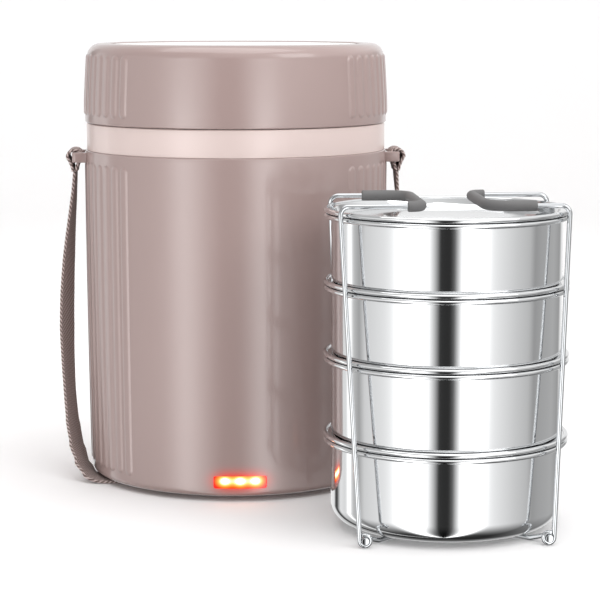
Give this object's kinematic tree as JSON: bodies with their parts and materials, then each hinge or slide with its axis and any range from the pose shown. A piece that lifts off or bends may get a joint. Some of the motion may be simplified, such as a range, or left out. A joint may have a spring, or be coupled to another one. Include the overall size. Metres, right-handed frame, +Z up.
{
  "type": "electric lunch box",
  "caption": "Heated insulated jar with a screw-turn lid and carrying strap, with its stack of steel food containers in a wire carrier standing beside it.",
  "frame": {"origin": "middle of the outline of the set on the floor that it stands on, without the strap", "axes": "+Z up; -Y is the front, where the indicator window is; +X is to the right of the jar as seen from the front"},
  "size_m": [0.2538, 0.2686, 0.2322],
  "materials": {
    "shell": "satin moulded plastic, taupe",
    "collar": "satin moulded plastic, pale cream pink",
    "white_disc": "smooth white plastic",
    "steel": "mirror-polished stainless steel",
    "steel_wire": "polished stainless steel wire",
    "sheet_steel": "plain steel sheet",
    "grip": "matt grey vinyl sleeve",
    "strap": "woven taupe webbing",
    "foam": "rigid insulating foam",
    "plate": "cast aluminium",
    "element": "insulated heating element",
    "black_plastic": "black moulded plastic",
    "rubber": "matt black rubber",
    "gasket": "white silicone rubber",
    "screw": "plated steel",
    "brass": "plated brass",
    "board": "green circuit board",
    "lamp": "lit red lamp",
    "lens": "clear red plastic",
    "wire": "insulated wire"
  },
  "bodies": {
    "jar": {"outer_shell": "shell", "collar_ring": "collar", "neck_ring": "collar", "inner_pot": "sheet_steel", "insulation": "foam", "heater_plate": "plate", "heater_element": "element", "heater_clamp": "sheet_steel", "clamp_nuts": "screw", "thermostat": "black_plastic", "thermal_fuse": "element", "base_cover": "shell", "rubber_feet": "rubber", "base_screws": "screw", "power_inlet": "black_plastic", "inlet_pins": "brass", "indicator_board": "board", "indicator_lamps": "lamp", "indicator_lens": "lens", "inner_wires": "wire", "strap_ear_left": "shell", "strap_ear_right": "shell", "strap_loop_left": "strap", "strap_loop_right": "strap", "strap": "strap"},
    "lid_seal": {"lid_gasket": "gasket"},
    "lid": {"lid_cap": "shell", "lid_disc": "white_disc", "lid_insulation": "foam", "lid_liner": "sheet_steel"},
    "stack": {"container_1": "steel", "container_2": "steel", "container_3": "steel", "container_4": "steel", "container_lid_1": "steel", "container_lid_2": "steel", "container_lid_3": "steel", "container_lid_4": "steel", "carrier_base": "steel_wire"},
    "left_arm": {"arm_left": "steel_wire", "grip_left": "grip"},
    "right_arm": {"arm_right": "steel_wire", "grip_right": "grip"}
  },
  "joints": [
    {"name": "lid_lift", "type": "slide", "parent": "jar", "child": "lid_seal", "axis": [0, 0, 1], "range_m": [0, 0.1]},
    {"name": "lid_turn", "type": "hinge", "parent": "lid_seal", "child": "lid", "pos_m": [-0.0357, 0.0538, 0.1904], "axis": [0, 0, 1], "range_deg": [-45, 0]},
    {"name": "stack_lift", "type": "slide", "parent": "jar", "child": "stack", "axis": [0, 0, 1], "range_m": [0, 0.15]},
    {"name": "right_arm_swing", "type": "hinge", "parent": "stack", "child": "right_arm", "pos_m": [0.10689, -0.07394, 0.0037], "axis": [-0.0175, 0.9998, 0], "range_deg": [0, 85]},
    {"name": "left_arm_swing", "type": "hinge", "parent": "stack", "child": "left_arm", "pos_m": [0.01991, -0.07546, 0.0037], "axis": [-0.0175, 0.9998, 0], "range_deg": [-85, 0]}
  ]
}
